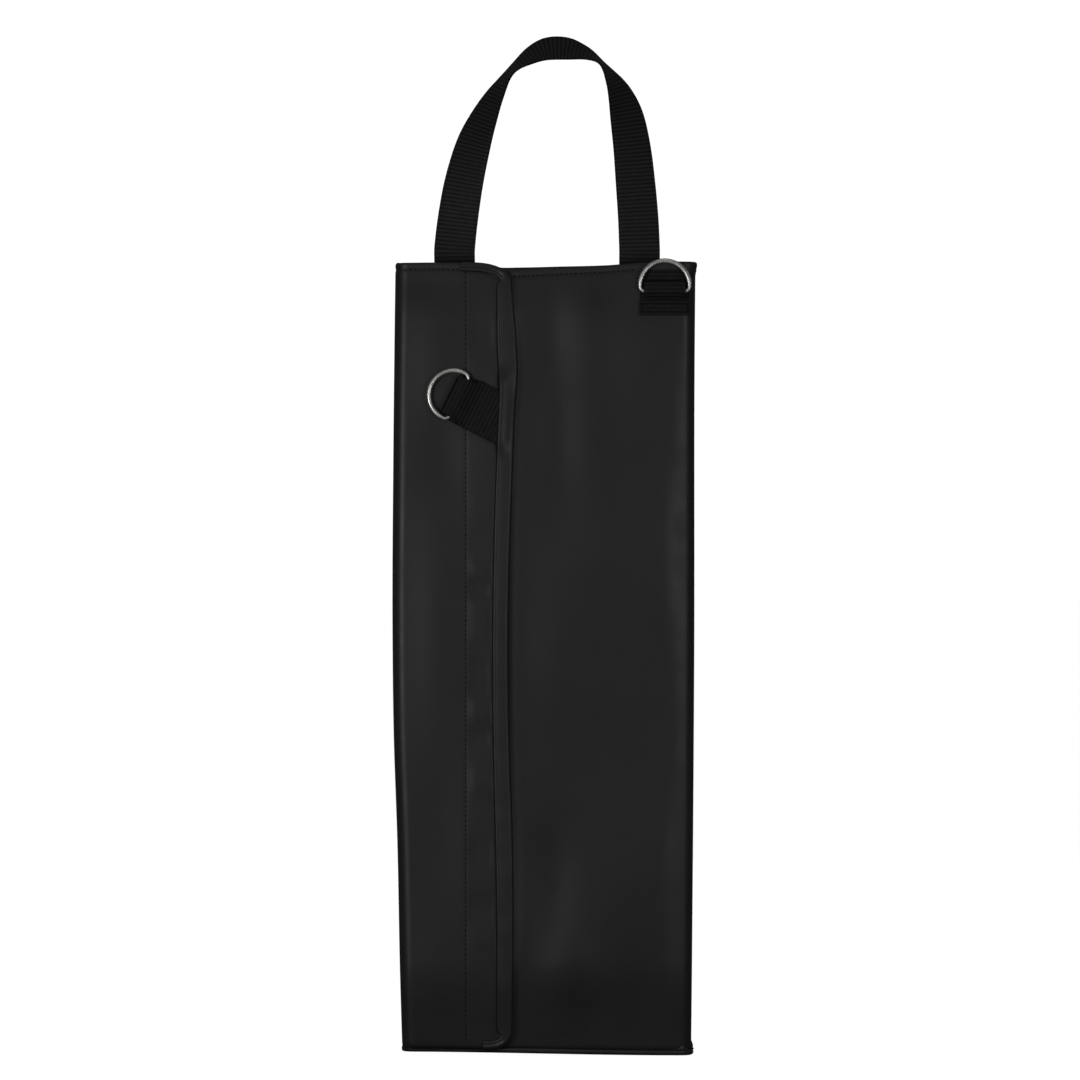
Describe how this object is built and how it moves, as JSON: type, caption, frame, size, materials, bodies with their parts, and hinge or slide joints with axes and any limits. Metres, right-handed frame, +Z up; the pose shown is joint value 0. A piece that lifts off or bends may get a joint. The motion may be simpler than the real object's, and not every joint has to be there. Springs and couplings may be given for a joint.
{
  "type": "drum stick bag",
  "caption": "Flat hanging pouch for drum sticks in soft imitation leather, with a side flap closed by hook-and-loop, a webbing handle and D-rings on webbing tabs.",
  "frame": {"origin": "middle of the top hem, between the front and back panels; the pouch hangs below it", "axes": "+Z up towards the handle, +X to the right as the front is seen, +Y to the rear; the front faces -Y"},
  "size_m": [0.183, 0.0487, 0.6185],
  "materials": {
    "leather": "soft, fine grain, low sheen",
    "lining": "matt woven",
    "foam": "matt foam",
    "tape": "matt woven tape",
    "loop": "napped loops",
    "hook": "nylon hooks",
    "webbing": "ribbed weave",
    "nickel": "bright nickel plate"
  },
  "bodies": {
    "pouch": {"back_panel": "leather", "back_padding": "foam", "back_lining": "lining", "back_top_hem": "leather", "left_side_panel": "leather", "right_side_panel": "leather", "front_panel": "leather", "front_padding": "foam", "front_lining": "lining", "front_top_hem": "leather", "top_tab_reinforcement": "tape", "front_edge_binding": "tape", "bottom_panel": "leather", "bottom_lining": "lining", "loop_strip": "loop", "handle_anchor_left": "webbing", "handle_anchor_right": "webbing", "top_ring_tab": "webbing"},
    "flap": {"flap_outer": "leather", "flap_lining": "lining", "hook_strip": "hook", "flap_edge_binding": "leather"},
    "flap_tab": {"flap_ring_tab": "webbing"},
    "flap_ring": {"flap_d_ring": "nickel"},
    "top_ring": {"top_d_ring": "nickel"},
    "handle": {"handle_webbing": "webbing"}
  },
  "joints": [
    {"name": "flap_hinge", "type": "hinge", "parent": "pouch", "child": "flap", "pos_m": [-0.0915, -0.013, -0.24], "axis": [0, 0, -1], "range_deg": [0, 178]},
    {"name": "flap_tab_flip", "type": "hinge", "parent": "flap", "child": "flap_tab", "pos_m": [-0.0286, -0.01835, -0.093], "axis": [0, 0, 1], "range_deg": [0, 120]},
    {"name": "flap_ring_pivot", "type": "hinge", "parent": "flap_tab", "child": "flap_ring", "pos_m": [-0.0519, -0.02, -0.0826], "axis": [0.454, 0, 0.891], "range_deg": [0, 150]},
    {"name": "top_ring_pivot", "type": "hinge", "parent": "pouch", "child": "top_ring", "pos_m": [0.0734, -0.0145, -0.0176], "axis": [1, 0, 0], "range_deg": [0, 150]},
    {"name": "handle_flop", "type": "hinge", "parent": "pouch", "child": "handle", "pos_m": [0, 0.0123, 0.0045], "axis": [1, 0, 0], "range_deg": [-130, 80]}
  ]
}
